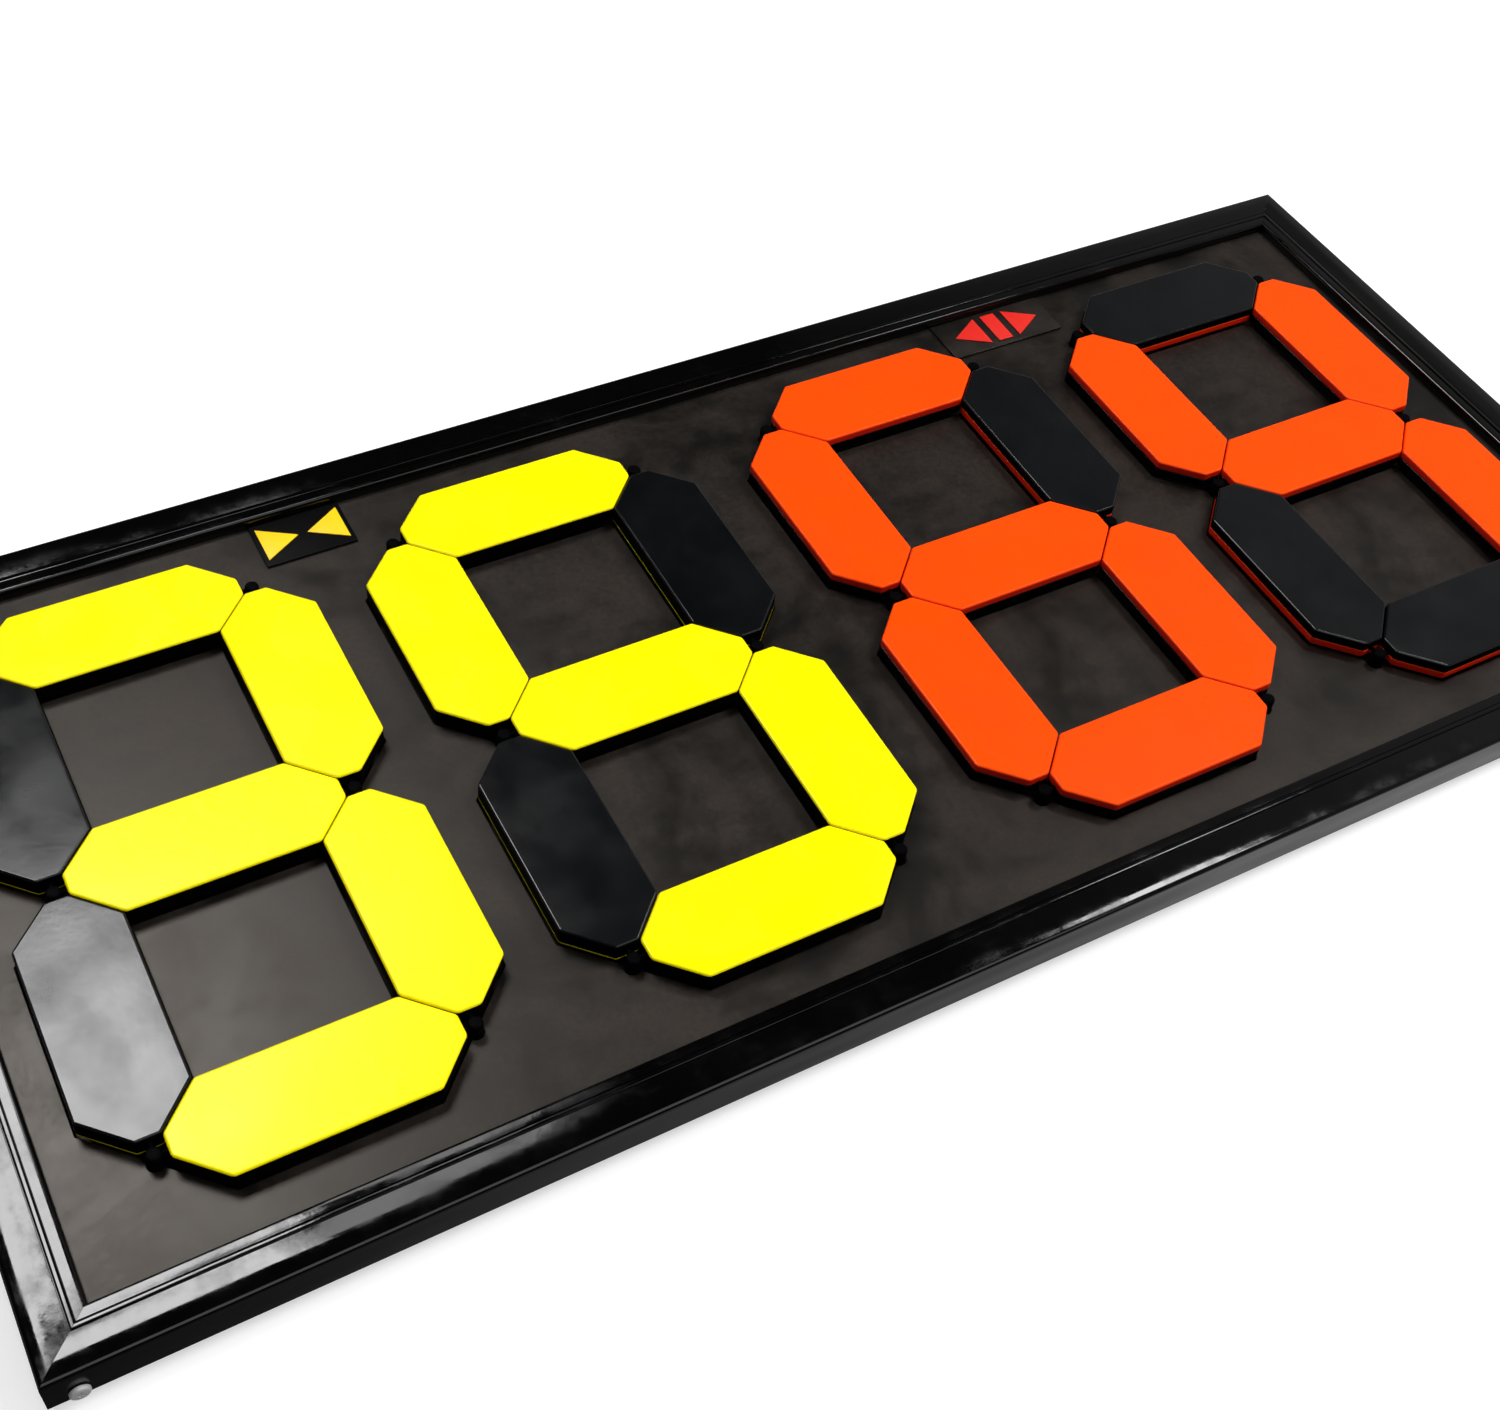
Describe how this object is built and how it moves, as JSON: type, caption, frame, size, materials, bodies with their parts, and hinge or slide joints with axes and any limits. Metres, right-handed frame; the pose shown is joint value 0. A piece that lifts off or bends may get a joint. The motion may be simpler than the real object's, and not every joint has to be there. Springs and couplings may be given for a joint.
{
  "type": "substitution board",
  "caption": "Hand-held football substitution board: two pairs of seven-segment digits made of turning two-sided flaps, in a framed panel with a closed back.",
  "frame": {"origin": "centre of the back cover's underside, which the board lies on", "axes": "+X along the board to the reader's right, +Y towards the tops of the digits, +Z out of the face"},
  "size_m": [0.753, 0.3494, 0.0291],
  "materials": {
    "yellow_plastic": "smooth moulded, slight sheen",
    "orange_plastic": "smooth moulded, slight sheen",
    "matt_black": "matt, faintly mottled",
    "gloss_black": "high gloss",
    "cover_black": "fine moulded grain",
    "label_black": "satin",
    "screw_steel": "bright",
    "bracket_zinc": "zinc plated, dull"
  },
  "bodies": {
    "board": {"digit_1_tray": "matt_black", "digit_2_tray": "matt_black", "digit_3_tray": "matt_black", "digit_4_tray": "matt_black", "face_panel": "matt_black", "back_cover": "cover_black", "near_rail": "gloss_black", "near_rail_screw_1": "screw_steel", "near_rail_screw_2": "screw_steel", "near_cover_screw_1": "screw_steel", "near_cover_screw_2": "screw_steel", "near_cover_screw_3": "screw_steel", "right_rail": "gloss_black", "right_cover_screw_1": "screw_steel", "far_rail": "gloss_black", "far_rail_screw_1": "screw_steel", "far_rail_screw_2": "screw_steel", "far_cover_screw_1": "screw_steel", "far_cover_screw_2": "screw_steel", "far_cover_screw_3": "screw_steel", "left_rail": "gloss_black", "left_cover_screw_1": "screw_steel", "near_left_bracket": "bracket_zinc", "near_right_bracket": "bracket_zinc", "far_right_bracket": "bracket_zinc", "far_left_bracket": "bracket_zinc", "in_label_plate": "label_black", "out_label_plate": "label_black"},
    "digit_1_flap_top": {"digit_1_flap_top": "yellow_plastic"},
    "digit_1_flap_upper_right": {"digit_1_flap_upper_right": "yellow_plastic"},
    "digit_1_flap_lower_right": {"digit_1_flap_lower_right": "yellow_plastic"},
    "digit_1_flap_bottom": {"digit_1_flap_bottom": "yellow_plastic"},
    "digit_1_flap_lower_left": {"digit_1_flap_lower_left": "yellow_plastic"},
    "digit_1_flap_upper_left": {"digit_1_flap_upper_left": "yellow_plastic"},
    "digit_1_flap_middle": {"digit_1_flap_middle": "yellow_plastic"},
    "digit_2_flap_top": {"digit_2_flap_top": "yellow_plastic"},
    "digit_2_flap_upper_right": {"digit_2_flap_upper_right": "yellow_plastic"},
    "digit_2_flap_lower_right": {"digit_2_flap_lower_right": "yellow_plastic"},
    "digit_2_flap_bottom": {"digit_2_flap_bottom": "yellow_plastic"},
    "digit_2_flap_lower_left": {"digit_2_flap_lower_left": "yellow_plastic"},
    "digit_2_flap_upper_left": {"digit_2_flap_upper_left": "yellow_plastic"},
    "digit_2_flap_middle": {"digit_2_flap_middle": "yellow_plastic"},
    "digit_3_flap_top": {"digit_3_flap_top": "orange_plastic"},
    "digit_3_flap_upper_right": {"digit_3_flap_upper_right": "orange_plastic"},
    "digit_3_flap_lower_right": {"digit_3_flap_lower_right": "orange_plastic"},
    "digit_3_flap_bottom": {"digit_3_flap_bottom": "orange_plastic"},
    "digit_3_flap_lower_left": {"digit_3_flap_lower_left": "orange_plastic"},
    "digit_3_flap_upper_left": {"digit_3_flap_upper_left": "orange_plastic"},
    "digit_3_flap_middle": {"digit_3_flap_middle": "orange_plastic"},
    "digit_4_flap_top": {"digit_4_flap_top": "orange_plastic"},
    "digit_4_flap_upper_right": {"digit_4_flap_upper_right": "orange_plastic"},
    "digit_4_flap_lower_right": {"digit_4_flap_lower_right": "orange_plastic"},
    "digit_4_flap_bottom": {"digit_4_flap_bottom": "orange_plastic"},
    "digit_4_flap_lower_left": {"digit_4_flap_lower_left": "orange_plastic"},
    "digit_4_flap_upper_left": {"digit_4_flap_upper_left": "orange_plastic"},
    "digit_4_flap_middle": {"digit_4_flap_middle": "orange_plastic"}
  },
  "joints": [
    {"name": "digit_1_top_turn", "type": "hinge", "parent": "board", "child": "digit_1_flap_top", "pos_m": [-0.2655, 0.1135, 0.02477], "axis": [1, 0, 0], "range_deg": [0, 180]},
    {"name": "digit_1_upper_right_turn", "type": "hinge", "parent": "board", "child": "digit_1_flap_upper_right", "pos_m": [-0.20875, 0.05675, 0.02477], "axis": [0, 1, 0], "range_deg": [0, 180]},
    {"name": "digit_1_lower_right_turn", "type": "hinge", "parent": "board", "child": "digit_1_flap_lower_right", "pos_m": [-0.20875, -0.05675, 0.02477], "axis": [0, 1, 0], "range_deg": [0, 180]},
    {"name": "digit_1_bottom_turn", "type": "hinge", "parent": "board", "child": "digit_1_flap_bottom", "pos_m": [-0.2655, -0.1135, 0.02477], "axis": [1, 0, 0], "range_deg": [0, 180]},
    {"name": "digit_1_lower_left_turn", "type": "hinge", "parent": "board", "child": "digit_1_flap_lower_left", "pos_m": [-0.32225, -0.05675, 0.02477], "axis": [0, 1, 0], "range_deg": [0, 180]},
    {"name": "digit_1_upper_left_turn", "type": "hinge", "parent": "board", "child": "digit_1_flap_upper_left", "pos_m": [-0.32225, 0.05675, 0.02477], "axis": [0, 1, 0], "range_deg": [0, 180]},
    {"name": "digit_1_middle_turn", "type": "hinge", "parent": "board", "child": "digit_1_flap_middle", "pos_m": [-0.2655, 0, 0.02477], "axis": [1, 0, 0], "range_deg": [0, 180]},
    {"name": "digit_2_top_turn", "type": "hinge", "parent": "board", "child": "digit_2_flap_top", "pos_m": [-0.0905, 0.1135, 0.02477], "axis": [1, 0, 0], "range_deg": [0, 180]},
    {"name": "digit_2_upper_right_turn", "type": "hinge", "parent": "board", "child": "digit_2_flap_upper_right", "pos_m": [-0.03375, 0.05675, 0.02477], "axis": [0, 1, 0], "range_deg": [0, 180]},
    {"name": "digit_2_lower_right_turn", "type": "hinge", "parent": "board", "child": "digit_2_flap_lower_right", "pos_m": [-0.03375, -0.05675, 0.02477], "axis": [0, 1, 0], "range_deg": [0, 180]},
    {"name": "digit_2_bottom_turn", "type": "hinge", "parent": "board", "child": "digit_2_flap_bottom", "pos_m": [-0.0905, -0.1135, 0.02477], "axis": [1, 0, 0], "range_deg": [0, 180]},
    {"name": "digit_2_lower_left_turn", "type": "hinge", "parent": "board", "child": "digit_2_flap_lower_left", "pos_m": [-0.14725, -0.05675, 0.02477], "axis": [0, 1, 0], "range_deg": [0, 180]},
    {"name": "digit_2_upper_left_turn", "type": "hinge", "parent": "board", "child": "digit_2_flap_upper_left", "pos_m": [-0.14725, 0.05675, 0.02477], "axis": [0, 1, 0], "range_deg": [0, 180]},
    {"name": "digit_2_middle_turn", "type": "hinge", "parent": "board", "child": "digit_2_flap_middle", "pos_m": [-0.0905, 0, 0.02477], "axis": [1, 0, 0], "range_deg": [0, 180]},
    {"name": "digit_3_top_turn", "type": "hinge", "parent": "board", "child": "digit_3_flap_top", "pos_m": [0.0905, 0.1135, 0.02477], "axis": [1, 0, 0], "range_deg": [0, 180]},
    {"name": "digit_3_upper_right_turn", "type": "hinge", "parent": "board", "child": "digit_3_flap_upper_right", "pos_m": [0.14725, 0.05675, 0.02477], "axis": [0, 1, 0], "range_deg": [0, 180]},
    {"name": "digit_3_lower_right_turn", "type": "hinge", "parent": "board", "child": "digit_3_flap_lower_right", "pos_m": [0.14725, -0.05675, 0.02477], "axis": [0, 1, 0], "range_deg": [0, 180]},
    {"name": "digit_3_bottom_turn", "type": "hinge", "parent": "board", "child": "digit_3_flap_bottom", "pos_m": [0.0905, -0.1135, 0.02477], "axis": [1, 0, 0], "range_deg": [0, 180]},
    {"name": "digit_3_lower_left_turn", "type": "hinge", "parent": "board", "child": "digit_3_flap_lower_left", "pos_m": [0.03375, -0.05675, 0.02477], "axis": [0, 1, 0], "range_deg": [0, 180]},
    {"name": "digit_3_upper_left_turn", "type": "hinge", "parent": "board", "child": "digit_3_flap_upper_left", "pos_m": [0.03375, 0.05675, 0.02477], "axis": [0, 1, 0], "range_deg": [0, 180]},
    {"name": "digit_3_middle_turn", "type": "hinge", "parent": "board", "child": "digit_3_flap_middle", "pos_m": [0.0905, 0, 0.02477], "axis": [1, 0, 0], "range_deg": [0, 180]},
    {"name": "digit_4_top_turn", "type": "hinge", "parent": "board", "child": "digit_4_flap_top", "pos_m": [0.2655, 0.1135, 0.02477], "axis": [1, 0, 0], "range_deg": [0, 180]},
    {"name": "digit_4_upper_right_turn", "type": "hinge", "parent": "board", "child": "digit_4_flap_upper_right", "pos_m": [0.32225, 0.05675, 0.02477], "axis": [0, 1, 0], "range_deg": [0, 180]},
    {"name": "digit_4_lower_right_turn", "type": "hinge", "parent": "board", "child": "digit_4_flap_lower_right", "pos_m": [0.32225, -0.05675, 0.02477], "axis": [0, 1, 0], "range_deg": [0, 180]},
    {"name": "digit_4_bottom_turn", "type": "hinge", "parent": "board", "child": "digit_4_flap_bottom", "pos_m": [0.2655, -0.1135, 0.02477], "axis": [1, 0, 0], "range_deg": [0, 180]},
    {"name": "digit_4_lower_left_turn", "type": "hinge", "parent": "board", "child": "digit_4_flap_lower_left", "pos_m": [0.20875, -0.05675, 0.02477], "axis": [0, 1, 0], "range_deg": [0, 180]},
    {"name": "digit_4_upper_left_turn", "type": "hinge", "parent": "board", "child": "digit_4_flap_upper_left", "pos_m": [0.20875, 0.05675, 0.02477], "axis": [0, 1, 0], "range_deg": [0, 180]},
    {"name": "digit_4_middle_turn", "type": "hinge", "parent": "board", "child": "digit_4_flap_middle", "pos_m": [0.2655, 0, 0.02477], "axis": [1, 0, 0], "range_deg": [0, 180]}
  ]
}
